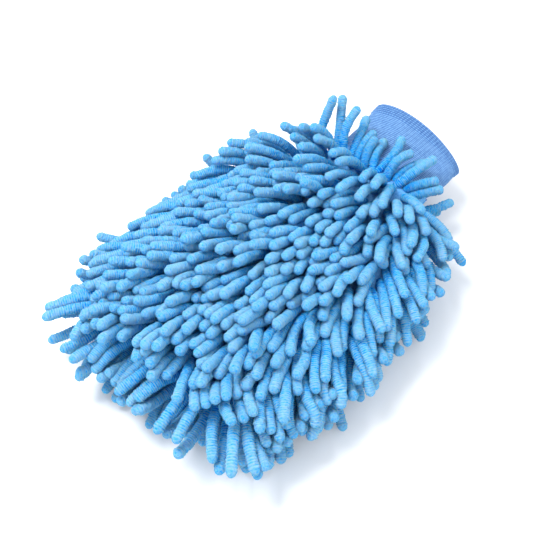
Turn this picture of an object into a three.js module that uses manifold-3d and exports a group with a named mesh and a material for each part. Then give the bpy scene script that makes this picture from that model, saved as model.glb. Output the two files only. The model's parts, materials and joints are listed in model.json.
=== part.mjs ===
// Chenille wash mitt: a knitted bag with a thick pile of chenille noodles on both faces, a lining inside,
// and a rib-knit cuff sewn to its mouth. The cuff bends up and down about its seam.
// Millimetres. +X runs from the finger end to the cuff, +Y is on the left of someone who looks along +X
// with +Z up. The mitt lies palm down on z = 0, and x = 0, y = 0 is the middle of its length and width.
import * as THREE from 'three';
import { mergeVertices } from 'three/addons/utils/BufferGeometryUtils.js';
import Module from 'manifold-3d';

const wasm = await Module();
wasm.setup();

// Whole mitt
const LENGTH = 300;                 // finger-end noodle tips to the cuff's mouth
const WIDTH = 190;                  // noodle tip to noodle tip across the palm
const HEIGHT = 80;                  // top of the pile above the surface that the mitt lies on
const SEAM_LEVEL = 36;              // height of the edge seam and of the cuff's axis

// Bag of base cloth that carries the noodles
const NOODLE_REACH_TIP = 28;        // how far the noodles stand past the bag at the finger end
const NOODLE_REACH_SIDE = 22;       // and at each side
const BAG_LENGTH = 206;
const BAG_HALF_HEIGHT = 13;
const BACKING = 1.6;                // thickness of the tufted base cloth
const LINING = 1;                   // thickness of the lining
const CLOTH_GAP = 0.4;              // clearance between cloth layers
const FINGER_POWER = 4.4;           // superellipse powers: square finger end, sloping shoulders
const SHOULDER_POWER = 2.6;
const CROWN_POWER = 2.6;            // and the crown of both faces

// Pile
const PILE_LENGTH = 262;            // along X, noodle tips to noodle tips
const ROWS = 13;                    // rows of noodles on each face
const ROW_GAP = 0.6;                // clearance between one row and the next
const PARTING_GAP = 0.6;            // clearance between the top pile and the palm pile at the edge
const FLATTENING = 6;               // how much the palm pile is pressed flat by the weight on it

// Cuff
const CUFF_LENGTH = 58;
const CUFF_HALF_WIDTH = 38;
const CUFF_HALF_HEIGHT = 12;
const CUFF_LAYER = 1;               // one layer of rib knit; the cuff is folded double at its mouth
const CUFF_SLOT = 1.2;              // room between the two layers
const HEM_FOLD = 3;                 // depth of the closed fold at the mouth
const HEM_ROUNDING = 0.9;           // bevel of the fold's outer edge
const ELASTIC_WIDTH = 10;
const ELASTIC_THICKNESS = 0.6;
const ELASTIC_END_GAP = 0.5;        // between the elastic and the fold
const BEND_LIMIT = THREE.MathUtils.degToRad(20);
const BEND_MARGIN = THREE.MathUtils.degToRad(4);
const SWEEP_SIDE = 4;               // room at each side of the bending cuff
const SWEEP_HUB = 3;                // and round its root

// Threads
const THREAD_RADIUS = 1;            // overlock seam along the bag's edge
const THREAD_GROOVE = 0.4;          // clearance between that seam and what it lies in
const THREAD_END = THREE.MathUtils.degToRad(38);  // plan angle at which the edge seam meets the neck
const THREAD_STEPS = 44;
const THREAD_CURVE_SEGMENTS = 4;
const CUFF_THREAD_WIDTH = 2;
const CUFF_THREAD_THICKNESS = 0.8;
const CUFF_THREAD_GAP = 0.3;
const CUFF_THREAD_START = 1;        // from the cuff's root

// Neck of the bag: its length before the hinge, and how its section changes along it
const NECK_LENGTH = 52;
const NECK_MIDDLE = 22;
const NECK_LAP = 8;                 // it runs this far to each side of the hinge
const NECK_START_WIDTH = 0.74;      // of the bag's half width
const NECK_MIDDLE_WIDTH = 0.7;
const NECK_START_HEIGHT = 0.8;      // of the bag's half height
const NECK_FLARE = 2;               // the neck stands this far outside the cuff's root
const NECK_SPREAD = 3;              // and this much wider where it opens into the bag

// Worked out from the dimensions above
const tipX = -LENGTH / 2;
const mouthX = LENGTH / 2;
const hingeX = mouthX - CUFF_LENGTH;
const bagHalfWidth = WIDTH / 2 - NOODLE_REACH_SIDE;
const bagTipX = tipX + NOODLE_REACH_TIP;
const bagCentreX = bagTipX + BAG_LENGTH / 2;
const pileCentreX = tipX + PILE_LENGTH / 2;
const sweepRadius = CUFF_HALF_HEIGHT + SWEEP_HUB;

// How finely round shapes are cut
const AROUND = 32;
const RINGS = [0.42, 0.7, 0.87, 0.965, 1];
const CUFF_AROUND = 28;
const HUB_CURVE_SEGMENTS = 8;

const BIG = 2 * LENGTH;             // larger than the mitt in every direction
const OVERCUT = 1;                  // how far a cutting solid runs past what it cuts

const material = (color, roughness) => new THREE.MeshStandardMaterial({ color, roughness, metalness: 0 });
const noodleMaterial = material('#4f9fe2', 0.95);
const clothMaterial = material('#5b9edb', 0.9);
const liningMaterial = material('#6aa2d8', 0.85);
const cuffMaterial = material('#74a8df', 0.9);
const threadMaterial = material('#3f86cc', 0.8);
const elasticMaterial = material('#e8ecf0', 0.7);

// Closed triangle mesh from rings of points, all with the same count, and one pole at each end
function closedRings(rings, firstPole, lastPole) {
  const count = rings[0].length;
  const points = [firstPole, ...rings.flat(), lastPole];
  const index = [];
  const at = (ring, i) => 1 + ring * count + (i % count);
  for (let i = 0; i < count; i += 1) {
    index.push(0, at(0, i + 1), at(0, i));
    index.push(points.length - 1, at(rings.length - 1, i), at(rings.length - 1, i + 1));
    for (let ring = 0; ring + 1 < rings.length; ring += 1) {
      index.push(at(ring, i), at(ring, i + 1), at(ring + 1, i));
      index.push(at(ring + 1, i), at(ring, i + 1), at(ring + 1, i + 1));
    }
  }
  const geometry = new THREE.BufferGeometry().setFromPoints(points);
  return geometry.setIndex(index);
}

function toSolid(geometry) {
  const bare = geometry.clone();
  bare.deleteAttribute('normal');
  bare.deleteAttribute('uv');
  const merged = mergeVertices(bare);
  const vertProperties = new Float32Array(merged.attributes.position.array);
  const triVerts = new Uint32Array(merged.index.array);
  return new wasm.Manifold(new wasm.Mesh({ numProp: 3, vertProperties, triVerts }));
}

function toGeometry(solid) {
  const { vertProperties, triVerts } = solid.getMesh();
  const geometry = new THREE.BufferGeometry();
  geometry.setAttribute('position', new THREE.BufferAttribute(vertProperties, 3));
  geometry.setIndex(new THREE.BufferAttribute(triVerts, 1));
  geometry.computeVertexNormals();
  return geometry;
}

// Box between two corners
function block(low, high) {
  const geometry = new THREE.BoxGeometry(high[0] - low[0], high[1] - low[1], high[2] - low[2]);
  geometry.translate((low[0] + high[0]) / 2, (low[1] + high[1]) / 2, (low[2] + high[2]) / 2);
  return toSolid(geometry);
}

// Point on the plan outline at an angle from +X: square corners at the finger end, sloping shoulders
function outlinePoint(centreX, halfLength, halfWidth, angle) {
  const cos = Math.cos(angle);
  const sin = Math.sin(angle);
  const power = cos < 0 ? FINGER_POWER : SHOULDER_POWER;
  const sum = Math.abs(cos / halfLength) ** power + Math.abs(sin / halfWidth) ** power;
  const radius = sum ** (-1 / power);
  return new THREE.Vector2(centreX + radius * cos, radius * sin);
}

// Pillow with that outline, crowned above and below the seam level
function pillow(centreX, halfLength, halfWidth, above, below) {
  const crown = (share) => (1 - share ** CROWN_POWER) ** (1 / CROWN_POWER);
  const ring = (share, height) => Array.from({ length: AROUND }, (_, i) => {
    const rim = outlinePoint(0, halfLength, halfWidth, (2 * Math.PI * i) / AROUND);
    const z = SEAM_LEVEL + height * crown(share);
    return new THREE.Vector3(centreX + rim.x * share, rim.y * share, z);
  });
  const upper = RINGS.map((share) => ring(share, above));
  const lower = RINGS.slice(0, -1).map((share) => ring(share, -below)).reverse();
  const rings = [...upper, ...lower].map((points) => points.reverse());
  const pole = (height) => new THREE.Vector3(centreX, 0, SEAM_LEVEL + height);
  return toSolid(closedRings(rings, pole(above), pole(-below)));
}

// Solid with elliptical sections along X, each [x, half width, half height]
function ellipticLoft(sections) {
  const rings = sections.map(([x, halfWidth, halfHeight]) => Array.from({ length: CUFF_AROUND }, (_, i) => {
    const angle = (2 * Math.PI * i) / CUFF_AROUND;
    return new THREE.Vector3(x, halfWidth * Math.cos(angle), SEAM_LEVEL + halfHeight * Math.sin(angle));
  }));
  const first = new THREE.Vector3(sections[0][0], 0, SEAM_LEVEL);
  const last = new THREE.Vector3(sections[sections.length - 1][0], 0, SEAM_LEVEL);
  return toSolid(closedRings(rings, first, last));
}

// The bag with its neck, shrunk by an inset
function bag(inset) {
  const halfLength = BAG_LENGTH / 2 - inset;
  const halfHeight = BAG_HALF_HEIGHT - inset;
  const body = pillow(bagCentreX, halfLength, bagHalfWidth - inset, halfHeight, halfHeight);
  const rootWidth = CUFF_HALF_WIDTH + NECK_FLARE - inset;
  const rootHeight = CUFF_HALF_HEIGHT + NECK_FLARE - inset;
  const startWidth = NECK_START_WIDTH * bagHalfWidth - inset;
  const middleWidth = NECK_MIDDLE_WIDTH * bagHalfWidth - inset;
  const neck = ellipticLoft([
    [hingeX - NECK_LENGTH, startWidth, NECK_START_HEIGHT * BAG_HALF_HEIGHT - inset],
    [hingeX - NECK_MIDDLE, middleWidth, BAG_HALF_HEIGHT - inset],
    [hingeX - NECK_LAP, rootWidth + NECK_SPREAD, rootHeight],
    [hingeX + NECK_LAP, rootWidth, rootHeight],
  ]);
  return body.add(neck);
}

// Everything that the cuff can reach as it bends, with room to spare, seen from the side as a round
// hub at the hinge with a wedge opening from it
function cuffSweep() {
  const spread = BEND_LIMIT + BEND_MARGIN;
  const reach = 1.5 * CUFF_LENGTH;
  const side = new THREE.Shape();
  const edge = new THREE.Vector2(-Math.sin(spread), Math.cos(spread)).multiplyScalar(sweepRadius);
  const run = new THREE.Vector2(Math.cos(spread), Math.sin(spread)).multiplyScalar(reach);
  side.absarc(0, 0, sweepRadius, Math.PI / 2 + spread, 1.5 * Math.PI - spread, false);
  side.lineTo(edge.x + run.x, -edge.y - run.y);
  side.lineTo(edge.x + run.x, edge.y + run.y);
  side.closePath();
  const halfWidth = CUFF_HALF_WIDTH + NECK_FLARE + SWEEP_SIDE;
  const geometry = new THREE.ExtrudeGeometry(side, {
    depth: 2 * halfWidth,
    bevelEnabled: false,
    curveSegments: HUB_CURVE_SEGMENTS,
  });
  geometry.rotateX(Math.PI / 2);
  geometry.translate(hingeX, halfWidth, SEAM_LEVEL);
  return toSolid(geometry);
}

// Round tube along the bag's edge, from one side of the neck round the finger end to the other
function edgeTube(radius) {
  const halfWidth = bagHalfWidth + CLOTH_GAP;
  const points = Array.from({ length: THREAD_STEPS + 1 }, (_, i) => {
    const angle = THREAD_END + ((2 * Math.PI - 2 * THREAD_END) * i) / THREAD_STEPS;
    const rim = outlinePoint(bagCentreX, BAG_LENGTH / 2 + CLOTH_GAP, halfWidth, angle);
    return new THREE.Vector3(rim.x, rim.y, SEAM_LEVEL);
  });
  const section = new THREE.Shape().absarc(0, 0, radius, 0, 2 * Math.PI);
  return toSolid(new THREE.ExtrudeGeometry(section, {
    extrudePath: new THREE.CatmullRomCurve3(points),
    steps: THREAD_STEPS,
    curveSegments: THREAD_CURVE_SEGMENTS,
  }));
}

const aboveLevel = (z) => block([-BIG, -BIG, z], [BIG, BIG, BIG]);
const belowLevel = (z) => block([-BIG, -BIG, -BIG], [BIG, BIG, z]);
const upperHalf = (solid, gap) => solid.intersect(aboveLevel(SEAM_LEVEL + gap / 2));
const lowerHalf = (solid, gap) => solid.intersect(belowLevel(SEAM_LEVEL - gap / 2));

// Rows of noodles on one face: the pile cut across its length
function noodleRows(pile, face) {
  const pitch = PILE_LENGTH / ROWS;
  return Array.from({ length: ROWS }, (_, i) => {
    const start = tipX + i * pitch;
    const slab = block([start, -BIG, -BIG], [start + pitch - ROW_GAP, BIG, BIG]);
    const number = String(i + 1).padStart(2, '0');
    return [`noodle_row_${face}_${number}`, pile.intersect(slab), noodleMaterial];
  });
}

// The pile round the bag, flat where it lies on the floor, with room for the bag, the seam and the cuff
function pileSolid(sweep, groove) {
  const body = pillow(pileCentreX, PILE_LENGTH / 2, WIDTH / 2, HEIGHT - SEAM_LEVEL, SEAM_LEVEL + FLATTENING);
  return body.intersect(aboveLevel(0)).subtract(bag(-CLOTH_GAP)).subtract(sweep).subtract(groove);
}

// Cloth layer that follows the bag between two insets
function clothShell(outerInset, innerInset, sweep) {
  return bag(outerInset).subtract(bag(innerInset)).subtract(sweep);
}

// The cuff's outline shrunk by an inset, from its root to a given end
function cuffForm(inset, startX, endX) {
  const halfWidth = CUFF_HALF_WIDTH - inset;
  const halfHeight = CUFF_HALF_HEIGHT - inset;
  return ellipticLoft([[startX, halfWidth, halfHeight], [endX, halfWidth, halfHeight]]);
}

// Two layers of rib knit, joined by the fold at the mouth
function ribCuff() {
  const outer = ellipticLoft([
    [hingeX, CUFF_HALF_WIDTH, CUFF_HALF_HEIGHT],
    [mouthX - HEM_ROUNDING, CUFF_HALF_WIDTH, CUFF_HALF_HEIGHT],
    [mouthX, CUFF_HALF_WIDTH - HEM_ROUNDING, CUFF_HALF_HEIGHT - HEM_ROUNDING],
  ]);
  const inner = CUFF_LAYER + CUFF_SLOT;
  const bore = cuffForm(inner + CUFF_LAYER, hingeX - OVERCUT, mouthX + OVERCUT);
  const slot = cuffForm(CUFF_LAYER, hingeX - OVERCUT, mouthX - HEM_FOLD)
    .subtract(cuffForm(inner, hingeX - 2 * OVERCUT, mouthX));
  return outer.subtract(bore).subtract(slot);
}

// Flat ring between the cuff's two layers
function cuffElastic() {
  const inset = CUFF_LAYER + (CUFF_SLOT - ELASTIC_THICKNESS) / 2;
  const endX = mouthX - HEM_FOLD - ELASTIC_END_GAP;
  const startX = endX - ELASTIC_WIDTH;
  const bore = cuffForm(inset + ELASTIC_THICKNESS, startX - OVERCUT, endX + OVERCUT);
  return cuffForm(inset, startX, endX).subtract(bore);
}

// Ring of thread round the cuff's root
function cuffSeam() {
  const startX = hingeX + CUFF_THREAD_START;
  const endX = startX + CUFF_THREAD_WIDTH;
  const bore = cuffForm(-CUFF_THREAD_GAP, startX - OVERCUT, endX + OVERCUT);
  return cuffForm(-CUFF_THREAD_GAP - CUFF_THREAD_THICKNESS, startX, endX).subtract(bore);
}

function washMitt() {
  const sweep = cuffSweep();
  const groove = edgeTube(THREAD_RADIUS + THREAD_GROOVE);
  const pile = pileSolid(sweep, groove);
  const backing = clothShell(0, BACKING, sweep).subtract(groove);
  const liningInset = BACKING + CLOTH_GAP;
  const lining = clothShell(liningInset, liningInset + LINING, sweep);
  const pieces = [
    ...noodleRows(upperHalf(pile, PARTING_GAP), 'top'),
    ...noodleRows(lowerHalf(pile, PARTING_GAP), 'palm'),
    ['top_backing', upperHalf(backing, CLOTH_GAP), clothMaterial],
    ['palm_backing', lowerHalf(backing, CLOTH_GAP), clothMaterial],
    ['top_lining', upperHalf(lining, CLOTH_GAP), liningMaterial],
    ['palm_lining', lowerHalf(lining, CLOTH_GAP), liningMaterial],
    ['edge_seam', edgeTube(THREAD_RADIUS), threadMaterial],
    ['rib_cuff', ribCuff(), cuffMaterial],
    ['cuff_elastic', cuffElastic(), elasticMaterial],
    ['cuff_seam', cuffSeam(), threadMaterial],
  ];
  const mitt = new THREE.Group();
  for (const [name, solid, look] of pieces) {
    const mesh = new THREE.Mesh(toGeometry(solid), look);
    mesh.name = name;
    mitt.add(mesh);
  }
  return mitt;
}

export default washMitt();
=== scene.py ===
import json
import math

import bpy
import numpy as np
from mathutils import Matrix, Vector, noise


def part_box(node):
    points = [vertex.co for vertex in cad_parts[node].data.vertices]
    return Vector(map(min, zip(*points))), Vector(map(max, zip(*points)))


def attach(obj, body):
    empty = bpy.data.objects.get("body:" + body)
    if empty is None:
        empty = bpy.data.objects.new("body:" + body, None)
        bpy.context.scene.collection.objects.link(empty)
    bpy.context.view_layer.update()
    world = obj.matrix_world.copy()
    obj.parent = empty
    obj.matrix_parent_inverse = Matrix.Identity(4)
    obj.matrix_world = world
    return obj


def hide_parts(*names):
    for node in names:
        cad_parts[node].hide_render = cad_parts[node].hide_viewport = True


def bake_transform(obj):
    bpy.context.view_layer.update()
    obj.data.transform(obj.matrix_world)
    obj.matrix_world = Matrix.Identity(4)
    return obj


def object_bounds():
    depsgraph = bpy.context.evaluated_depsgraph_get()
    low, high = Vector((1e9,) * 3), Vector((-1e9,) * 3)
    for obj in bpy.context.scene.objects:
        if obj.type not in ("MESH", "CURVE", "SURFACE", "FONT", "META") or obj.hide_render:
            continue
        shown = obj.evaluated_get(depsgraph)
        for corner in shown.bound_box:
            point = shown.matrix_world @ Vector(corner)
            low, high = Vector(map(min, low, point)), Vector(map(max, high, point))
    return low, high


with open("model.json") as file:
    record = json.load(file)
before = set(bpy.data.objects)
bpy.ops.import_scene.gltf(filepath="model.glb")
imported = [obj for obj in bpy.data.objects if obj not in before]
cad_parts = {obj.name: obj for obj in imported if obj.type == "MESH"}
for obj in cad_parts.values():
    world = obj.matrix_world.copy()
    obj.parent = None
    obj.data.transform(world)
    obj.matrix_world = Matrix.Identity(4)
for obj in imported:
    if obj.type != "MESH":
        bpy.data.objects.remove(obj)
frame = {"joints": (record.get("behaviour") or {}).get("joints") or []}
cad_low, cad_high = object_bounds()

MM = 0.001
random = np.random.default_rng(7)

# ---------------------------------------------------------------- places and sizes from the frame
ROWS = 13
hinge = Vector(frame["joints"][0]["pos_m"])
level = hinge.z
mouth_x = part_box("rib_cuff")[1].x
cuff_half_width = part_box("rib_cuff")[1].y
cuff_half_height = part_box("rib_cuff")[1].z - level
bag_tip_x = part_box("top_backing")[0].x
bag_half_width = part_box("top_backing")[1].y
row_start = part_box("noodle_row_top_01")[0].x
row_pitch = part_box("noodle_row_top_02")[0].x - row_start

# ---------------------------------------------------------------- sizes of the looks
# The cloth bag without its pile
BAG_LENGTH = 206 * MM
BAG_HALF_HEIGHT = 13 * MM
bag_centre_x = bag_tip_x + BAG_LENGTH / 2
SMALLEST = 1e-4

# The bag's curves are superellipses: a higher power is squarer
FINGER_POWER = 4.4
SHOULDER_POWER = 2.6
CROWN_POWER = 2.6

# Where the bag narrows into its neck
NECK_START = hinge.x - 60 * MM
NECK_END = hinge.x - 20 * MM

# Cloth thicknesses, and the gap between base cloth and lining
BACKING = 1.4 * MM
LINING = 0.9 * MM
CLOTH_GAP = 0.5 * MM

# Noodles: a chain of segments each, and a tube of rings with this many sides
NOODLE_RADIUS = 3.25 * MM
NOODLE_LENGTH = 42 * MM
LENGTH_SPREAD = 3 * MM
LONGEST = NOODLE_LENGTH + 17 * MM
SEGMENTS = 10
RIB_PITCH = 1.3 * MM
SIDES = 12

# Their roots over each face
ROOT_PITCH = 8.3 * MM
ROOT_JITTER = 1.3 * MM
FIRST_ROOT_X = bag_tip_x + 6 * MM
LAST_ROOT_X = hinge.x - 13 * MM

# Their settling: all steps, those that comb them over, and the last ones that smooth them
SETTLE_STEPS = 180
COMB_STEPS = 120
SMOOTH_STEPS = 22
LOWEST_NODE = NOODLE_RADIUS * 1.18
HIGHEST_NODE = cad_high.z + 6 * MM

# Cuff: its stitch columns, the thickness of its two layers, where it starts and its mouth band's width
CUFF_WALES = 88
CUFF_WALL = 2.8 * MM
CUFF_ROOT_X = hinge.x - 6 * MM
BAND_WIDTH = 11 * MM

# Start of the stretch between the bag and the cuff: rows of noodles that reach past it keep baked
# transforms instead of riding on the bag
BLEND_START = Vector((hinge.x - 40 * MM, 0, level))


def smooth_step(low, high, value):
    """0 at low, 1 at high, smooth between and level beyond; low may be the greater of the two."""
    share = np.clip((value - low) / (high - low), 0, 1)
    return share * share * (3 - 2 * share)


# ---------------------------------------------------------------- stage
def place_camera():
    azimuth, elevation = math.radians(-50), math.radians(47.5)
    distance = 0.66
    target = Vector((-0.018, 0.0075, 0.024))
    back = Vector((
        math.sin(azimuth) * math.cos(elevation),
        -math.cos(azimuth) * math.cos(elevation),
        math.sin(elevation),
    ))
    camera = bpy.data.objects.new("camera", bpy.data.cameras.new("camera"))
    camera.data.lens = 66.5
    camera.data.clip_start = 0.01
    camera.location = target + back * distance
    camera.rotation_mode = "QUATERNION"
    camera.rotation_quaternion = (-back).to_track_quat("-Z", "Y")
    bpy.context.collection.objects.link(camera)
    bpy.context.scene.camera = camera


def area_light(name, location, size, power):
    """A square light aimed at the middle of the pile."""
    data = bpy.data.lights.new(name, "AREA")
    data.size = size
    data.energy = power
    light = bpy.data.objects.new(name, data)
    light.location = location
    direction = Vector((0, 0, 30 * MM)) - Vector(location)
    light.rotation_mode = "QUATERNION"
    light.rotation_quaternion = direction.to_track_quat("-Z", "Y")
    bpy.context.collection.objects.link(light)


def light_stage():
    scene = bpy.context.scene
    scene.view_settings.view_transform = "Standard"
    world = bpy.data.worlds.new("studio")
    world.use_nodes = True
    background = world.node_tree.nodes["Background"]
    background.inputs["Color"].default_value = (0.93, 0.96, 1.0, 1)
    background.inputs["Strength"].default_value = 1.06
    scene.world = world
    area_light("key", location=(-0.25, 0.30, 0.95), size=0.45, power=12.0)
    area_light("front", location=(-0.5, -0.9, 0.7), size=0.8, power=5.2)


def lay_floor():
    """A pale floor just under the pile."""
    reach = 3
    corners = [(-reach, -reach, 0), (reach, -reach, 0), (reach, reach, 0), (-reach, reach, 0)]
    mesh = bpy.data.meshes.new("floor")
    mesh.from_pydata(corners, [], [(0, 1, 2, 3)])
    floor = bpy.data.objects.new("floor", mesh)
    floor.location.z = -0.5 * MM
    bpy.context.collection.objects.link(floor)
    material = bpy.data.materials.new("floor")
    material.use_nodes = True
    shader = material.node_tree.nodes["Principled BSDF"]
    shader.inputs["Base Color"].default_value = (0.86, 0.87, 0.88, 1)
    shader.inputs["Roughness"].default_value = 0.8
    mesh.materials.append(material)


# ---------------------------------------------------------------- materials
class Nodes:
    """Short calls for building one material's node tree."""

    def __init__(self, name):
        self.material = bpy.data.materials.new(name)
        self.material.use_nodes = True
        self.tree = self.material.node_tree
        self.shader = self.tree.nodes["Principled BSDF"]

    def link(self, value, socket):
        if isinstance(value, bpy.types.NodeSocket):
            self.tree.links.new(value, socket)
        else:
            socket.default_value = value

    def add(self, kind, **inputs):
        node = self.tree.nodes.new(kind)
        for name, value in inputs.items():
            self.link(value, node.inputs[name])
        return node

    def attribute(self, name):
        node = self.tree.nodes.new("ShaderNodeAttribute")
        node.attribute_name = name
        return node.outputs["Fac"]

    def stretched(self, vector, scale):
        node = self.add("ShaderNodeMapping", Vector=vector)
        node.inputs["Scale"].default_value = scale
        return node.outputs["Vector"]

    def position(self, scale):
        place = self.tree.nodes.new("ShaderNodeTexCoord")
        return self.stretched(place.outputs["Object"], (scale, scale, scale))

    def unrolled(self, name, across, along):
        """Place on a straightened noodle, read from a vector attribute, scaled across and along it."""
        node = self.tree.nodes.new("ShaderNodeAttribute")
        node.attribute_name = name
        return self.stretched(node.outputs["Vector"], (across, across, along))

    def noise(self, scale, detail):
        node = self.add("ShaderNodeTexNoise", Vector=self.position(scale), Scale=1.0, Detail=detail)
        return node.outputs["Fac"]

    def maths(self, operation, first, second=0.0):
        node = self.tree.nodes.new("ShaderNodeMath")
        node.operation = operation
        self.link(first, node.inputs[0])
        self.link(second, node.inputs[1])
        return node.outputs["Value"]

    def ramp(self, value, stops):
        """Colour by value, through (place, colour) stops in rising order."""
        node = self.add("ShaderNodeValToRGB", Fac=value)
        elements = node.color_ramp.elements
        for element, (place, color) in zip(elements, (stops[0], stops[-1])):
            element.position, element.color = place, (*color, 1)
        for place, color in stops[1:-1]:
            elements.new(place).color = (*color, 1)
        return node.outputs["Color"]

    def bump(self, height, strength, distance):
        node = self.add("ShaderNodeBump", Height=height, Strength=strength, Distance=distance)
        self.link(node.outputs["Normal"], self.shader.inputs["Normal"])

    def scatter(self, weight, radius, scale):
        """Light that soaks into loose fibres and comes out nearby."""
        self.shader.inputs["Subsurface Weight"].default_value = weight
        self.shader.inputs["Subsurface Radius"].default_value = radius
        self.shader.inputs["Subsurface Scale"].default_value = scale

    def cloth(self, color, roughness, sheen, tint, gloss=0.2):
        """Sets the shader to a fibrous surface and hands back the material."""
        self.link(color, self.shader.inputs["Base Color"])
        self.shader.inputs["Roughness"].default_value = roughness
        self.shader.inputs["Specular IOR Level"].default_value = gloss
        self.shader.inputs["Sheen Weight"].default_value = sheen
        self.shader.inputs["Sheen Roughness"].default_value = 0.45
        self.shader.inputs["Sheen Tint"].default_value = (*tint, 1)
        return self.material


def chenille_material():
    """Cut pile wound round a core: broken rings of tufts; painted shade darkens the clefts, the rib
    valleys and the root, and the tips are painted lighter as if lit.
    """
    nodes = Nodes("chenille")
    place = nodes.unrolled("unrolled", 340, 1020)
    pattern = nodes.add("ShaderNodeTexNoise", Vector=place, Scale=1.0, Detail=2.5, Roughness=0.65)
    tufts = pattern.outputs["Fac"]
    fibres = nodes.noise(2400, 2.0)
    tone = nodes.maths("MULTIPLY", nodes.attribute("noodle"), 0.08)
    # painted shade: darker in the valleys between ribs, where the rib attribute is 0
    rib = nodes.maths("MULTIPLY", nodes.attribute("rib"), 0.26)
    # painted shade in the clefts: the tuft pattern that sinks the bump below also darkens the colour
    tuft_cleft_shade = nodes.maths("MULTIPLY", tufts, 0.82)
    value = nodes.maths("ADD", nodes.maths("ADD", tone, tuft_cleft_shade), nodes.maths("ADD", rib, -0.01))
    # painted shade towards the root and painted light towards the tip, by the share along the noodle
    depth = nodes.maths("MULTIPLY", nodes.attribute("along"), 0.29)
    # low stops are the deep blue painted shade of clefts and roots, high stops the lighter, redder painted
    # light of the tips
    color = nodes.ramp(nodes.maths("ADD", value, depth), [
        (0.46, (0.000, 0.170, 0.720)),
        (0.60, (0.018, 0.380, 0.860)),
        (0.76, (0.155, 0.455, 0.765)),
        (0.98, (0.275, 0.520, 0.715)),
    ])
    height = nodes.maths("ADD", tufts, nodes.maths("MULTIPLY", fibres, 0.35))
    nodes.bump(height, 1.0, 2.8 * MM)
    nodes.scatter(0.25, (0.05, 0.5, 1.0), 3 * MM)
    return nodes.cloth(color, roughness=0.95, sheen=0.05, tint=(0.10, 0.60, 1.0), gloss=0.02)


def knit_material(name, dark, light, pitch):
    """Fine jersey: crossed waves at the stitch pitch, with a little yarn fuzz; the colour follows the same
    value as the bump, so the stitch hollows are painted darker as shade.
    """
    nodes = Nodes(name)
    frequency = 2 * math.pi / pitch
    axes = nodes.add("ShaderNodeSeparateXYZ", Vector=nodes.position(1.0))
    across = nodes.maths("SINE", nodes.maths("MULTIPLY", axes.outputs["Y"], frequency))
    along = nodes.maths("SINE", nodes.maths("MULTIPLY", axes.outputs["X"], frequency * 0.8))
    weave = nodes.maths("MULTIPLY", across, along)
    shade = nodes.maths("ADD", nodes.maths("MULTIPLY", weave, 0.2), nodes.noise(900, 3.0))
    # painted shade in the hollows, together with the yarn fuzz's own tone
    color = nodes.ramp(shade, [(0.25, dark), (0.80, light)])
    nodes.bump(shade, 0.6, 0.4 * MM)
    return nodes.cloth(color, roughness=0.9, sheen=0.2, tint=(0.6, 0.8, 1.0))


def cuff_material():
    """Rib knit, with painted shade: darker in the grooves between its courses and wales."""
    nodes = Nodes("rib_knit")
    # painted shade: ridge is low in the knit's grooves, and the ramp darkens it there
    ridge = nodes.maths("MULTIPLY", nodes.attribute("ridge"), 0.62)
    value = nodes.maths("ADD", ridge, nodes.maths("MULTIPLY", nodes.noise(420, 3.0), 0.4))
    color = nodes.ramp(value, [
        (0.16, (0.016, 0.060, 0.215)),
        (0.52, (0.085, 0.205, 0.430)),
        (0.90, (0.225, 0.405, 0.650)),
    ])
    nodes.bump(nodes.noise(2400, 3.0), 0.4, 0.3 * MM)
    return nodes.cloth(color, roughness=0.88, sheen=0.2, tint=(0.7, 0.85, 1.0))


def thread_material(name, dark, light):
    """Spun yarn with a fine, uneven surface."""
    nodes = Nodes(name)
    color = nodes.ramp(nodes.noise(1500, 3.0), [(0.3, dark), (0.7, light)])
    nodes.bump(nodes.noise(3000, 2.0), 0.4, 0.2 * MM)
    return nodes.cloth(color, roughness=0.7, sheen=0.1, tint=(0.7, 0.85, 1.0))


# ---------------------------------------------------------------- mesh making
def make_piece(name, vertices, faces, material, attributes=None, bends=True):
    """A mesh object with its transform baked in, or else, when bends is false, parented to the bag's empty
    so that it rides on the bag.
    """
    mesh = bpy.data.meshes.new(name)
    mesh.from_pydata(np.asarray(vertices).tolist(), [], faces)
    mesh.polygons.foreach_set("use_smooth", np.ones(len(mesh.polygons), bool))
    for key, values in (attributes or {}).items():
        values = np.asarray(values, np.float32)
        kind, field = ("FLOAT_VECTOR", "vector") if values.ndim == 2 else ("FLOAT", "value")
        mesh.attributes.new(key, kind, "POINT").data.foreach_set(field, values.ravel())
    mesh.materials.append(material)
    mesh.validate()
    piece = bpy.data.objects.new(name, mesh)
    bpy.context.collection.objects.link(piece)
    if bends:
        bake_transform(piece)
    else:
        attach(piece, "mitt")
    return piece


def ring_faces(rings, sides, closed=False):
    """Quads between rings of points, wound so that they face outwards for rings that turn right-handed."""
    faces = []
    for ring in range(rings if closed else rings - 1):
        low = ring * sides
        high = ((ring + 1) % rings) * sides
        for side in range(sides):
            after = (side + 1) % sides
            faces.append((low + side, low + after, high + after, high + side))
    return faces


def end_fans(rings, sides):
    """Triangles that close a tube at both ends, on two points that follow those of its rings."""
    first, last = rings * sides, rings * sides + 1
    end = (rings - 1) * sides
    faces = []
    for side in range(sides):
        after = (side + 1) % sides
        faces.append((first, after, side))
        faces.append((last, end + side, end + after))
    return faces


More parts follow.
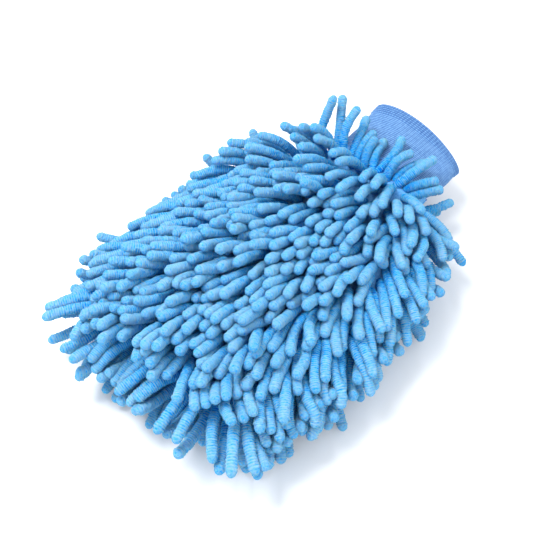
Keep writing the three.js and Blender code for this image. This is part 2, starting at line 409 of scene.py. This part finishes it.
def frames_along(points, closed=False):
    """Two cross directions at each point of one or more lines, carried along them without twist."""
    tangent = np.gradient(points, axis=-2)
    if closed:
        tangent = np.roll(points, -1, axis=-2) - np.roll(points, 1, axis=-2)
    tangent /= np.linalg.norm(tangent, axis=-1, keepdims=True)
    side = np.zeros_like(tangent)
    first = tangent[..., 0, :]
    helper = np.where(np.abs(first[..., 2:3]) < 0.8, np.array([0.0, 0, 1]), np.array([1.0, 0, 0]))
    side[..., 0, :] = np.cross(first, helper)
    for i in range(points.shape[-2]):
        carried = side[..., max(i - 1, 0), :]
        now = tangent[..., i, :]
        carried = carried - now * (carried * now).sum(-1, keepdims=True)
        side[..., i, :] = carried / np.linalg.norm(carried, axis=-1, keepdims=True)
    return side, np.cross(tangent, side)


# ---------------------------------------------------------------- the bag's shape
def crown(share, power=CROWN_POWER):
    """Height of a superellipse of half width 1 and height 1 at a share of its half width."""
    return np.clip(1 - np.abs(share) ** power, 0, 1) ** (1 / power)


def bag_width(x, grow=0.0):
    """Half width of the bag and its neck at x, grown by an offset."""
    share = (x - bag_centre_x) / (BAG_LENGTH / 2 + grow)
    finger, shoulder = crown(share, FINGER_POWER), crown(share, SHOULDER_POWER)
    body = (bag_half_width + grow) * np.where(share < 0, finger, shoulder)
    neck = (cuff_half_width + 1.5 * MM + grow) * smooth_step(NECK_START, NECK_END, x)
    return np.maximum(np.maximum(body, neck), SMALLEST)


def bag_height(x, grow=0.0):
    """Half height of the bag and its neck at x, grown by an offset."""
    share = (x - bag_centre_x) / (BAG_LENGTH / 2 + grow)
    body = (BAG_HALF_HEIGHT + grow) * crown(share)
    neck = (cuff_half_height + 1.0 * MM + grow) * smooth_step(NECK_START, NECK_END, x)
    return np.maximum(np.maximum(body, neck), SMALLEST)


def bag_field(points, grow):
    """Below 0 inside the bag and cuff grown by an offset, above 0 outside."""
    x, y, z = points[..., 0], points[..., 1], points[..., 2] - level
    across = np.abs(y) / bag_width(x, grow)
    up = np.abs(z) / bag_height(x, grow)
    return across ** CROWN_POWER + up ** CROWN_POWER - 1


def bag_gradient(points, grow):
    """Direction in which bag_field rises fastest, and how fast."""
    step = 0.2 * MM
    columns = []
    for axis in range(3):
        shift = np.zeros(3)
        shift[axis] = step
        columns.append((bag_field(points + shift, grow) - bag_field(points - shift, grow)) / (2 * step))
    return np.stack(columns, -1)


def plan_outline(neck_angle, count):
    """Points of the bag's edge in plan, from one side of the neck round the finger end to the other."""
    angles = np.linspace(neck_angle, 2 * math.pi - neck_angle, count)
    power = np.where(np.cos(angles) < 0, FINGER_POWER, SHOULDER_POWER)
    radius = (np.abs(np.cos(angles) / (BAG_LENGTH / 2)) ** power
              + np.abs(np.sin(angles) / bag_half_width) ** power) ** (-1 / power)
    return np.stack([bag_centre_x + radius * np.cos(angles), radius * np.sin(angles)], -1)


def surface_point(x, y, face, grow=0.0):
    """Point of the bag's top (face 1) or palm (face -1) surface over x, y."""
    rise = bag_height(x, grow) * crown(y / bag_width(x, grow))
    return np.stack([x, y, level + face * rise], -1)


# ---------------------------------------------------------------- where the noodles grow and how they lie
def soft_noise(x, y, size, seed):
    """Smooth noise over the plan, in patches of this size."""
    return noise.noise(Vector((x / size, y / size, seed)))


def face_roots(face):
    """Rows of roots over one face: (row number, x, y) for each noodle."""
    roots = []
    # two staggered lines of roots make up one row
    line_pitch = row_pitch / 2
    for line in range(2 * ROWS):
        x = row_start + (line + 0.5) * line_pitch
        if not FIRST_ROOT_X < x < LAST_ROOT_X:
            continue
        reach = float(bag_width(np.array(x))) * 0.98
        count = int(2 * reach / ROOT_PITCH) + 1
        shift = (line % 2 - 0.5) * 0.5
        for i in range(count):
            y = (i - (count - 1) / 2 + shift) * ROOT_PITCH
            jitter = random.uniform(-1, 1, 2) * ROOT_JITTER
            if abs(y + jitter[1]) < reach:
                roots.append((line // 2, x + jitter[0], y + jitter[1]))
    return roots


def lie_direction(x, y):
    """Angle from -X towards +Y in which the top pile is combed, and how upright it stands, in radians."""
    across = y / bag_half_width
    along = (x - bag_centre_x) / (BAG_LENGTH / 2)
    shoulder = smooth_step(0.62, 0.88, along)
    # parted along the middle, and turned down over the near (-Y) edge
    angle = 1 + 21 * math.tanh(2.4 * across) - 42 * smooth_step(0.70, 1.0, -across)
    # spread further at both shoulders
    angle += shoulder * (8 + 14 * smooth_step(0.3, 0.6, across) - 44 * smooth_step(0.15, 0.5, -across))
    # turned towards -Y at the finger end: at its near corner, at its far side and past its middle
    angle -= 30 * smooth_step(0.5, 0.9, -along) * smooth_step(0.2, 0.8, -across)
    angle -= 14 * smooth_step(0.2, 0.8, -along) * smooth_step(0.1, 0.7, across)
    angle -= 12 * smooth_step(0.3, 0.9, -along) * smooth_step(-0.5, 0.1, across)
    # highest along the middle and on the far shoulder
    upright = 18 + 10 * math.exp(-(across / 0.6) ** 2) + 34 * shoulder * smooth_step(0.10, 0.45, across)
    # locks of noodles that lie together, in two sizes
    calm = 1 - 0.4 * shoulder
    angle += calm * (36 * soft_noise(x, y, 26 * MM, 3.1) + 20 * soft_noise(x, y, 12 * MM, 5.5))
    upright += calm * (32 * soft_noise(x, y, 22 * MM, 8.7) + 26 * soft_noise(x, y, 11 * MM, 1.2))
    return math.radians(angle), math.radians(upright)


def noodle_plan():
    """Every noodle as (face, row, root, flat direction, angle at the root, angle at the tip, length).

    The angles are from the flat direction towards the noodle's own side of the mitt.
    """
    plan = []
    for face in (1, -1):
        for row, x, y in face_roots(face):
            root = surface_point(np.array(x), np.array(y), face)
            angle, upright = lie_direction(x, y)
            angle += random.normal(0, math.radians(6))
            upright += random.normal(0, math.radians(6))
            across = y / bag_half_width
            near_mouth = smooth_step(hinge.x - 44 * MM, hinge.x - 18 * MM, x)
            bowed = near_mouth * (1 - 0.9 * smooth_step(0.1, 0.4, across))
            droop = math.radians(10 - 30 * bowed - 70 * smooth_step(0.55, 0.95, abs(across)))
            flat = np.array([-math.cos(angle), math.sin(angle), 0])
            if face < 0:
                upright, droop = math.radians(25), math.radians(5)
            length = random.normal(NOODLE_LENGTH, LENGTH_SPREAD)
            arch = math.radians(17 + 14 * near_mouth)
            plan.append((face, row, root, flat, upright + arch, droop, length))
        plan += rim_plan(face)
        plan += mouth_plan(face)
    return plan


def rim_plan(face):
    """Noodles along the edge seam, pointing out of it and hanging towards the floor."""
    plan = []
    inset = 0.015
    outline = plan_outline(math.radians(23), 600)
    travel = np.concatenate([[0], np.cumsum(np.linalg.norm(np.diff(outline, axis=0), axis=1))])
    places = np.arange(0.5 if face > 0 else 0.0, travel[-1] / ROOT_PITCH) * ROOT_PITCH
    for place in places:
        x, y = (float(np.interp(place, travel, outline[:, k])) for k in (0, 1))
        ahead = [float(np.interp(place + MM, travel, outline[:, k])) for k in (0, 1)]
        out = np.array([ahead[1] - y, x - ahead[0], 0])
        out /= np.linalg.norm(out)
        along = (x - bag_centre_x) / (BAG_LENGTH / 2)
        near_side = y < 0
        finger = smooth_step(0.72, 0.96, -along)
        corner = finger * smooth_step(0.25, 0.9, abs(y) / bag_half_width)
        near = finger * smooth_step(0.1, 0.8, -y / bag_half_width)
        high = smooth_step(0.35, 0.6, along) * (y > 0) * (face > 0)
        comb = 1.2 * (1 - (0.2 if near_side else 0.55) * smooth_step(0.35, 0.7, along)) + 0.9 * high
        out[0] -= comb * (1 - (0.8 if near_side else 0.3) * corner)
        out[1] -= (0.45 if near_side else -0.08) * corner + 0.35 * near
        out /= np.linalg.norm(out)
        turn = random.normal(0, 0.16)
        flat = np.array([out[0] * math.cos(turn) - out[1] * math.sin(turn),
                         out[0] * math.sin(turn) + out[1] * math.cos(turn), 0])
        slump = 0.06 * smooth_step(0.05, 0.5, along) * near_side
        root = np.array([x * (1 - inset) + bag_centre_x * inset, y * (1 - inset - slump),
                         level + face * 3.5 * MM])
        upright = math.radians(random.normal(8, 7 + 6 * high) + 34 * high)
        tip = random.normal(-72, 6) + 10 * finger + (44 if near_side else 64) * corner + 56 * high
        droop = math.radians(tip)
        length = random.normal(NOODLE_LENGTH, LENGTH_SPREAD)
        length += (13 * near + (4 if near_side else 7) * corner - 2) * MM * finger
        row = 0 if x < FIRST_ROOT_X else int(np.clip((x - row_start) / row_pitch, 0, ROWS - 1))
        plan.append((face, row, root, flat, upright + math.radians(16), droop, length))
    return plan


def mouth_plan(face):
    """Noodles round the bag's mouth, fanning over the root of the cuff."""
    plan = []
    last = 12
    for i in range(last + 1):
        share = (i + random.uniform(-0.5, 0.5)) / last * 2 - 1
        x = hinge.x - random.uniform(6, 14) * MM
        y = share * cuff_half_width * 0.95
        if i == last:
            x, y = hinge.x - 18 * MM, y + 7 * MM
        root = surface_point(np.array(x), np.array(y), face, -0.5 * MM)
        fan = math.radians(50 if face > 0 else 25) * share * abs(share) + random.normal(0, 0.3)
        flat = np.array([math.cos(fan), math.sin(fan), 0])
        upright = math.radians(random.choice((24, 38, 52), p=(0.5, 0.35, 0.15)))
        droop = upright - math.radians(random.uniform(20, 55))
        length = random.uniform(24, 39) * MM
        # on the top face the last one stands up tall beside the cuff, held by the two before it
        if i > last - 3:
            upright, droop, length = math.radians(56), math.radians(46), 40 * MM
        if i == last:
            flat = np.array([math.cos(0.2), -math.sin(0.2), 0])
            upright, droop, length = math.radians(72), math.radians(64), 52 * MM
        if face < 0:
            upright, droop = math.radians(25), math.radians(-20)
        plan.append((face, ROWS - 1, root, flat, upright, droop, length))
    return plan


def resting_nodes(plan, lengths):
    """Node positions of every noodle as it would lie if no other was in its way."""
    shares = (np.arange(SEGMENTS) + 0.5) / SEGMENTS
    nodes = np.zeros((len(plan), SEGMENTS + 1, 3))
    for k, (face, _, root, flat, upright, droop, _) in enumerate(plan):
        tilt = upright + (min(droop, upright) - upright) * shares ** 0.7
        steps = flat[None, :] * np.cos(tilt)[:, None]
        steps[:, 2] = np.sin(tilt) * face
        nodes[k, 0] = root
        nodes[k, 1:] = root + np.cumsum(steps * (lengths[k] / SEGMENTS), axis=0)
    return nodes


# ---------------------------------------------------------------- settling the pile
def close_pairs(points, reach):
    """Index pairs of points nearer than reach, by sorting them into cubic cells."""
    cell = np.floor((points - points.min(0)) / reach).astype(np.int64) + 1
    size = cell.max(0) + 2
    key = (cell[:, 0] * size[1] + cell[:, 1]) * size[2] + cell[:, 2]
    order = np.argsort(key, kind="stable")
    ordered = key[order]
    # each cell with itself and with half of its 26 neighbours, so that no pair comes twice
    sides = (-1, 0, 1)
    half = [(a, b, c) for a in sides for b in sides for c in sides if (a, b, c) >= (0, 0, 0)]
    firsts, seconds = [], []
    for offset in half:
        wanted = key + (offset[0] * size[1] + offset[1]) * size[2] + offset[2]
        start = np.searchsorted(ordered, wanted, "left")
        stop = np.searchsorted(ordered, wanted, "right")
        for extra in range(int((stop - start).max())):
            has = np.nonzero(start + extra < stop)[0]
            other = order[start[has] + extra]
            if offset == (0, 0, 0):
                keep = other > has
                has, other = has[keep], other[keep]
            firsts.append(has)
            seconds.append(other)
    first, second = np.concatenate(firsts), np.concatenate(seconds)
    near = ((points[first] - points[second]) ** 2).sum(-1) < reach * reach
    return first[near], second[near]


def push_apart(nodes, first, second, gap, owner, loose):
    """Moves overlapping nodes of different noodles apart, half way each."""
    flat = nodes.reshape(-1, 3)
    between = flat[first] - flat[second]
    distance = np.linalg.norm(between, axis=1)
    depth = gap - distance
    hit = (depth > 0) & (owner[first] != owner[second])
    first, second, between = first[hit], second[hit], between[hit]
    move = between / np.maximum(distance[hit], 1e-6)[:, None] * (depth[hit] * 0.5)[:, None]
    total = np.zeros_like(flat)
    for axis in range(3):
        total[:, axis] = (np.bincount(first, move[:, axis], len(flat))
                          - np.bincount(second, move[:, axis], len(flat)))
    count = np.bincount(first, minlength=len(flat)) + np.bincount(second, minlength=len(flat))
    flat += total / np.maximum(count, 1)[:, None] ** 0.5 * loose[:, None]


def keep_out_of_bag(nodes, grow):
    """Pushes all but the first two nodes of each noodle out of the bag and cuff."""
    moving = nodes[:, 2:].reshape(-1, 3)
    field = bag_field(moving, grow)
    inside = np.nonzero(field < 0)[0]
    if len(inside):
        gradient = bag_gradient(moving[inside], grow)
        square = np.maximum((gradient ** 2).sum(-1), 1e-6)
        step = (-field[inside] / square)[:, None] * gradient
        length = np.linalg.norm(step, axis=1, keepdims=True)
        step *= np.minimum(1, 1.5 * MM / np.maximum(length, 1e-9))
        moving[inside] += step
        nodes[:, 2:] = moving.reshape(len(nodes), -1, 3)


def restore_lengths(nodes, segment, stiffness):
    """Sets every segment back to its length from the root on, and keeps the noodle from kinking."""
    before = None
    for i in range(1, nodes.shape[1]):
        step = nodes[:, i] - nodes[:, i - 1]
        step /= np.maximum(np.linalg.norm(step, axis=1, keepdims=True), 1e-9)
        if before is not None:
            step = step * (1 - stiffness) + before * stiffness
            step /= np.linalg.norm(step, axis=1, keepdims=True)
        nodes[:, i] = nodes[:, i - 1] + step * segment[:, None]
        before = step


def settle_pile(plan):
    """Combs all noodles from standing straight out to how they lie, as they push each other aside."""
    lengths = np.minimum([noodle[-1] for noodle in plan], LONGEST)
    resting = resting_nodes(plan, lengths)
    roots = resting[:, 0]
    normals = bag_gradient(roots, 0.0)
    normals /= np.linalg.norm(normals, axis=1, keepdims=True)
    segment = lengths / SEGMENTS
    spread = np.arange(SEGMENTS + 1)[None, :, None] * segment[:, None, None]
    standing = roots[:, None] + normals[:, None] * spread
    nodes = standing.copy()
    owner = np.repeat(np.arange(len(plan)), SEGMENTS + 1)
    loose = np.tile(np.minimum(np.arange(SEGMENTS + 1), 1.0), len(plan))
    share = (np.arange(SEGMENTS + 1) / SEGMENTS)[None, :]
    # noodles press a little into each other
    gap = 2 * NOODLE_RADIUS * 0.96
    for step in range(SETTLE_STEPS):
        combed = smooth_step(0, COMB_STEPS, step)
        target = standing + (resting - standing) * combed
        pull = 0.10 if step < COMB_STEPS else 0.06
        nodes += (target - nodes) * pull
        nodes[:, :, 2] -= 0.10 * MM * share
        if step % 3 == 0:
            first, second = close_pairs(nodes.reshape(-1, 3), gap + 2 * MM)
        push_apart(nodes, first, second, gap, owner, loose)
        keep_out_of_bag(nodes, NOODLE_RADIUS * 0.9)
        # the floor rises into place while the palm's noodles fold over
        floor = -32 * MM * (1 - combed) + LOWEST_NODE
        nodes[:, 1:, 2] = np.maximum(nodes[:, 1:, 2], floor)
        nodes[:, 1:, 2] = np.minimum(nodes[:, 1:, 2], HIGHEST_NODE)
        nodes[:, 0] = roots
        restore_lengths(nodes, segment, 0.5)
    for _ in range(SMOOTH_STEPS):
        first, second = close_pairs(nodes.reshape(-1, 3), gap + MM)
        push_apart(nodes, first, second, gap, owner, loose)
        nodes[:, 1:-1] = 0.8 * nodes[:, 1:-1] + 0.1 * (nodes[:, :-2] + nodes[:, 2:])
        nodes[:, 1:, 2] = np.maximum(nodes[:, 1:, 2], LOWEST_NODE)
        nodes[:, 0] = roots
    return nodes


# ---------------------------------------------------------------- noodles as ribbed tubes
def spline_at(nodes, places):
    """Catmull-Rom points at places from 0 to the last node's number."""
    before = 2 * nodes[:, :1] - nodes[:, 1:2]
    beyond = 2 * nodes[:, -1:] - nodes[:, -2:-1]
    padded = np.concatenate([before, nodes, beyond], 1)
    index = np.clip(places.astype(int), 0, nodes.shape[1] - 2)
    t = (places - index)[None, :, None]
    a, b, c, d = (padded[:, index + k] for k in range(4))
    square = 2 * a - 5 * b + 4 * c - d
    cube = 3 * b - a - 3 * c + d
    return 0.5 * (2 * b + (c - a) * t + square * t ** 2 + cube * t ** 3)


def noodle_profile():
    """For each ring from root to tip: its shares of the length, the radius, a rib's height and the tip."""
    tip_rings = 5
    body_rings = int(2 * (NOODLE_LENGTH - NOODLE_RADIUS) / RIB_PITCH)
    body = np.linspace(0, 1 - NOODLE_RADIUS / NOODLE_LENGTH, body_rings)
    turn = np.linspace(0, math.pi / 2, tip_rings + 1)[1:]
    cap = body[-1] + (1 - body[-1]) * np.sin(turn)
    share = np.concatenate([body, cap])
    profile = np.concatenate([np.ones(body_rings), np.maximum(np.cos(turn), 0.16)])
    # thinner at its root, where it is stitched down
    profile *= 0.80 + 0.20 * smooth_step(0, 0.12, share)
    crest = np.where(np.arange(len(share)) % 2 == 0, 1.0, 0.0)
    crest[body_rings:] *= 0.4
    return share, profile, crest, smooth_step(body[-1], 1, share)


def noodle_mesh(nodes, shade):
    """Vertices, faces and attributes of one row's noodles: ribbed, rough tubes with round tips."""
    share, profile, crest, tip = noodle_profile()
    rings = len(share)
    line = spline_at(nodes, share * SEGMENTS)
    side, up = frames_along(line)
    count = len(nodes)
    swell = 1 + 0.025 * np.sin(share * 19 + shade[:, None] * 40) + 0.06 * (shade[:, None] - 0.5)
    ribs = 0.93 + 0.19 * crest[None, :, None] * random.uniform(0.0, 1.2, (count, rings, SIDES))
    fuzz = 1 + random.normal(0, 0.028, (count, rings, SIDES))
    radius = NOODLE_RADIUS * (profile[None, :] * swell)[:, :, None] * ribs * fuzz
    angle = np.arange(SIDES) * 2 * math.pi / SIDES
    around = (side[:, :, None] * np.cos(angle)[None, None, :, None]
              + up[:, :, None] * np.sin(angle)[None, None, :, None])
    tube = line[:, :, None] + around * radius[..., None]
    each = rings * SIDES + 2
    vertices = np.zeros((count, each, 3))
    vertices[:, :-2] = tube.reshape(count, -1, 3)
    vertices[:, -2] = line[:, 0]
    vertices[:, -1] = line[:, -1]
    one = ring_faces(rings, SIDES) + end_fans(rings, SIDES)
    faces = [tuple(k * each + v for v in face) for k in range(count) for face in one]
    # rib and along carry the chenille's painted shade: darker in rib valleys and towards the root, lighter
    # at the tip
    rib = np.ones((count, each)) * 0.6
    rib[:, :-2] = np.repeat(crest[None, :], count, 0).repeat(SIDES, 1)
    along = np.ones((count, each))
    along[:, :-2] = np.repeat(share[None, :], count, 0).repeat(SIDES, 1)
    along[:, -2] = 0
    # each vertex's place on the straight noodle, widened at the tip, where the tufts would crowd
    unrolled = np.zeros((count, each, 3))
    ring = np.stack([np.cos(angle), np.sin(angle)], -1) * NOODLE_RADIUS
    widened = profile * (1 + 2 * tip)
    unrolled[:, :-2, :2] = (widened[:, None, None] * ring[None]).reshape(-1, 2)
    unrolled[..., 2] = along * NOODLE_LENGTH
    unrolled += (shade * 7)[:, None, None]
    attributes = {
        "rib": rib.ravel(),
        "noodle": np.repeat(shade, each),
        "along": along.ravel(),
        "unrolled": unrolled.reshape(-1, 3),
    }
    return vertices.reshape(-1, 3), faces, attributes


def make_noodles(material):
    """One piece for each row of noodles."""
    plan = noodle_plan()
    nodes = settle_pile(plan)
    shade = random.uniform(0, 1, len(plan))
    faces = np.array([noodle[0] for noodle in plan])
    rows = np.array([noodle[1] for noodle in plan])
    for face, label in ((1, "top"), (-1, "palm")):
        for row in range(ROWS):
            chosen = np.nonzero((faces == face) & (rows == row))[0]
            name = f"noodle_row_{label}_{row + 1:02d}"
            vertices, faces_of_row, attributes = noodle_mesh(nodes[chosen], shade[chosen])
            bends = nodes[chosen][..., 0].max() > BLEND_START.x
            piece = make_piece(name + "_pile", vertices, faces_of_row, material, attributes, bends)
            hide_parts(name)


# ---------------------------------------------------------------- cloth layers of the bag
def cloth_layer(name, node, material, face, grow, thickness, start_x, end_x):
    """One panel of the bag as a thin closed sheet that follows the bag's shape."""
    columns, across = 110, 60
    sweep = (1 - np.cos(np.linspace(0, math.pi, columns))) / 2
    xs = start_x + (end_x - start_x) * sweep
    side = np.sin(np.linspace(-math.pi / 2, math.pi / 2, across))
    grid = np.zeros((columns, across, 3))
    for i, x in enumerate(xs):
        width = float(bag_width(np.array(x), grow))
        grid[i] = surface_point(np.full(across, x), side * width, face, grow)
    waves = np.array([[noise.noise(Vector(p) * 60) for p in line] for line in grid]) * 0.5 * MM
    waves *= (1 - side ** 4)[None, :]
    normal = bag_gradient(grid, grow)
    normal /= np.linalg.norm(normal, axis=-1, keepdims=True)
    grid += normal * waves[..., None]
    inner = grid - normal * thickness
    # both skins stay on their own side of the edge, where top and palm panel meet
    inner[..., 2] = level + face * np.maximum(face * (inner[..., 2] - level), 0.15 * MM)
    grid[..., 2] = level + face * np.maximum(face * (grid[..., 2] - level), 0.2 * MM)
    vertices = np.concatenate([grid.reshape(-1, 3), inner.reshape(-1, 3)])
    size = columns * across
    faces = []
    for i in range(columns - 1):
        for j in range(across - 1):
            a, b = i * across + j, (i + 1) * across + j
            quad = (a, b, b + 1, a + 1)
            faces.append(quad if face > 0 else quad[::-1])
            low = tuple(size + v for v in quad)
            faces.append(low[::-1] if face > 0 else low)
    border = ([i * across for i in range(columns)]
              + [(columns - 1) * across + j for j in range(1, across)]
              + [i * across + across - 1 for i in range(columns - 2, -1, -1)]
              + [j for j in range(across - 2, 0, -1)])
    for k, v in enumerate(border):
        w = border[(k + 1) % len(border)]
        wall = (v, size + v, size + w, w)
        faces.append(wall if face > 0 else wall[::-1])
    piece = make_piece(name, vertices, faces, material)
    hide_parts(node)


def make_cloth():
    """Base cloth and lining, each of a top and a palm panel."""
    backing = knit_material("base_cloth", (0.045, 0.230, 0.540), (0.160, 0.440, 0.740), 1.1 * MM)
    lining = knit_material("lining", (0.070, 0.220, 0.520), (0.230, 0.470, 0.780), 1.6 * MM)
    start = bag_tip_x + 0.4 * MM
    inset = -(BACKING + CLOTH_GAP)
    for face, label in ((1, "top"), (-1, "palm")):
        cloth_layer(f"{label}_base_cloth", f"{label}_backing", backing,
                    face, grow=0.0, thickness=BACKING, start_x=start, end_x=hinge.x + 1 * MM)
        cloth_layer(f"{label}_lining_cloth", f"{label}_lining", lining,
                    face, grow=inset, thickness=LINING, start_x=start - inset, end_x=CUFF_ROOT_X)


# ---------------------------------------------------------------- threads
def wire(points, radius, closed):
    """Vertices and faces of a thread along a line."""
    sides = 6
    side, up = frames_along(points, closed)
    angle = np.arange(sides) * 2 * math.pi / sides
    around = side[:, None] * np.cos(angle)[None, :, None] + up[:, None] * np.sin(angle)[None, :, None]
    vertices = (points[:, None] + around * radius).reshape(-1, 3)
    faces = ring_faces(len(points), sides, closed=closed)
    if not closed:
        vertices = np.concatenate([vertices, points[:1], points[-1:]])
        faces += end_fans(len(points), sides)
    return vertices, faces


def overlock(line, out, up, pitch, width, height, closed):
    """A thread wound round a seam line, one loop for each stitch."""
    travel = np.concatenate([[0], np.cumsum(np.linalg.norm(np.diff(line, axis=0), axis=1))])
    stitches = int(travel[-1] / pitch)
    points_a_stitch = 8
    places = np.linspace(0, travel[-1], stitches * points_a_stitch + 1)
    if closed:
        places = places[:-1]
    turn = places / travel[-1] * stitches * 2 * math.pi
    middle, outward, upward = (
        np.stack([np.interp(places, travel, field[:, k]) for k in range(3)], -1)
        for field in (line, out, up)
    )
    return middle + outward * (np.cos(turn) * width)[:, None] + upward * (np.sin(turn) * height)[:, None]


def make_edge_seam(material):
    """The overlock stitches that join top and palm round the bag's edge."""
    count = 400
    outline = plan_outline(math.radians(25), count)
    line = np.concatenate([outline, np.full((count, 1), level)], 1)
    tangent = np.gradient(line, axis=0)
    tangent /= np.linalg.norm(tangent, axis=1, keepdims=True)
    up = np.tile([0.0, 0, 1], (count, 1))
    out = np.cross(tangent, up)
    thread = overlock(line, out, up, pitch=2.2 * MM, width=1.1 * MM, height=1.1 * MM, closed=False)
    piece = make_piece("edge_overlock", *wire(thread, radius=0.35 * MM, closed=False), material)
    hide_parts("edge_seam")


# ---------------------------------------------------------------- cuff
def cuff_share(x):
    """How far x is on the way from the cuff's hinge to its mouth, from 0 to 1."""
    return max((x - hinge.x) / (mouth_x - hinge.x), 0)


def cuff_section(x):
    """Half width, half height and centre height of the cuff, which flattens towards its mouth."""
    share = cuff_share(x)
    width = cuff_half_width * (1 + 0.035 * math.sin(math.pi * share))
    height = cuff_half_height * (1.06 - 0.22 * share ** 2)
    return width, height, level + 2 * MM * share


def cuff_ring(x, angle, out):
    """Points round the cuff at x, moved outwards; its mouth is bowed and leans to one side."""
    width, height, middle = cuff_section(x)
    share = cuff_share(x)
    aside = np.cos(angle)
    bow = (-5 * aside ** 2 + 3 * (aside - 1)) * MM * share ** 2
    lean = 8.5 * MM * aside * share ** 1.5
    return np.stack([x + bow, (width + out) * aside, middle + lean + (height + out) * np.sin(angle)], -1)


def outer_relief(x, angle):
    """Fine courses round the cuff, and a coarser grid in the band at its mouth: their pattern, which the
    cuff's colour turns into painted shade in the grooves, and their lift.
    """
    from_mouth = mouth_x - x
    blur = 0.8 * MM
    band = float(smooth_step(BAND_WIDTH + blur, BAND_WIDTH - blur, from_mouth))
    pitch = 2.1 * MM if from_mouth < BAND_WIDTH else 1.75 * MM
    courses = 0.5 + 0.5 * math.cos(2 * math.pi * from_mouth / pitch)
    wale = 0.5 + 0.5 * np.cos(angle * CUFF_WALES)
    plain = 0.8 * courses + 0.2 * wale
    grid = courses * (0.35 + 0.65 * wale)
    ridge = (1 - band) * plain + band * grid
    lift = (0.42 * (1 - band) + 0.6 * band) * MM * ridge + 0.5 * MM * band
    return ridge, lift


def inner_relief(_, angle):
    """The knit's inside shows its wales only."""
    wale = np.cos(angle * CUFF_WALES)
    return 0.5 + 0.3 * wale, 0.12 * MM * wale


def cuff_layer(xs, inset, relief, around):
    """Rings of one knit layer with its relief, and each point's ridge height from 0 to 1."""
    angle = np.arange(around) * 2 * math.pi / around
    points = np.zeros((len(xs), around, 3))
    ridges = np.zeros((len(xs), around))
    for i, x in enumerate(xs):
        ridges[i], lift = relief(x, angle)
        slack = 1.7 * MM * math.sin(math.pi * cuff_share(x))
        wrinkle = slack * np.array(
            [noise.noise(Vector((x * 45, math.cos(a) * 1.8, math.sin(a) * 1.8))) for a in angle])
        points[i] = cuff_ring(x, angle, lift + wrinkle - inset)
    return points, ridges


def make_cuff():
    """The knit tube, folded at its mouth into an outer and an inner layer that meet again at its root."""
    around = 4 * CUFF_WALES
    fold_x = mouth_x - 1.2 * MM
    outer, outer_ridge = cuff_layer(np.linspace(CUFF_ROOT_X, fold_x, 150), 0.0, outer_relief, around)
    inner_x = np.linspace(fold_x, CUFF_ROOT_X + 2 * MM, 60)
    inner, inner_ridge = cuff_layer(inner_x, CUFF_WALL, inner_relief, around)
    fold = []
    for turn in np.linspace(0, math.pi, 7)[1:-1]:
        middle = (outer[-1] + inner[0]) / 2
        arm = (outer[-1] - inner[0]) / 2
        ring = middle + arm * math.cos(turn)
        ring[:, 0] += CUFF_WALL / 2 * math.sin(turn)
        fold.append(ring)
    join = outer[:1] * 0.5 + inner[-1:] * 0.5
    rings = np.concatenate([outer, np.array(fold), inner, join])
    fold_ridge = np.full((len(fold), around), 0.6)
    join_ridge = np.full((1, around), 0.3)
    ridge = np.concatenate([outer_ridge, fold_ridge, inner_ridge, join_ridge])
    faces = [face[::-1] for face in ring_faces(len(rings), around, closed=True)]
    # ridge feeds the cuff's painted shade, darker in the grooves; the fold and the join get fixed values
    attributes = {"ridge": ridge.ravel()}
    piece = make_piece("rib_knit_cuff", rings.reshape(-1, 3), faces, cuff_material(), attributes)
    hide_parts("rib_cuff")


def cuff_line(x, inset, count):
    """A closed line round the cuff whose last point is its first, and the outward direction along it."""
    angle = np.arange(count + 1) * 2 * math.pi / count
    line = cuff_ring(x, angle, -inset)
    out = np.stack([np.zeros(count + 1), np.cos(angle), np.sin(angle)], -1)
    return line, out


def make_cuff_seam(material):
    """The overlock stitches that join the cuff to the bag's mouth."""
    line, out = cuff_line(hinge.x + 2 * MM, -1.2 * MM, 240)
    forward = np.tile([1.0, 0, 0], (len(line), 1))
    stitches = overlock(line, out, forward, pitch=2.4 * MM, width=0.5 * MM, height=1.3 * MM, closed=True)
    piece = make_piece("cuff_overlock", *wire(stitches, radius=0.32 * MM, closed=True), material)
    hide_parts("cuff_seam")


def make_cuff_elastic(material):
    """Six elastic threads between the cuff's two layers, in the band at its mouth."""
    first_inset, pitch = 3.5, 1.6
    vertices, faces = [], []
    for i in range(6):
        ring, _ = cuff_line(mouth_x - (first_inset + pitch * i) * MM, CUFF_WALL / 2, 120)
        points, quads = wire(ring[:-1], radius=0.35 * MM, closed=True)
        start = i * len(points)
        vertices.append(points)
        faces += [tuple(start + v for v in quad) for quad in quads]
    piece = make_piece("cuff_elastic_threads", np.concatenate(vertices), faces, material)
    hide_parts("cuff_elastic")


place_camera()
light_stage()
lay_floor()
make_noodles(chenille_material())
make_cloth()
overlock_thread = thread_material("thread", (0.05, 0.20, 0.55), (0.16, 0.42, 0.80))
make_edge_seam(overlock_thread)
make_cuff()
make_cuff_seam(overlock_thread)
make_cuff_elastic(thread_material("elastic", (0.62, 0.66, 0.70), (0.85, 0.88, 0.90)))
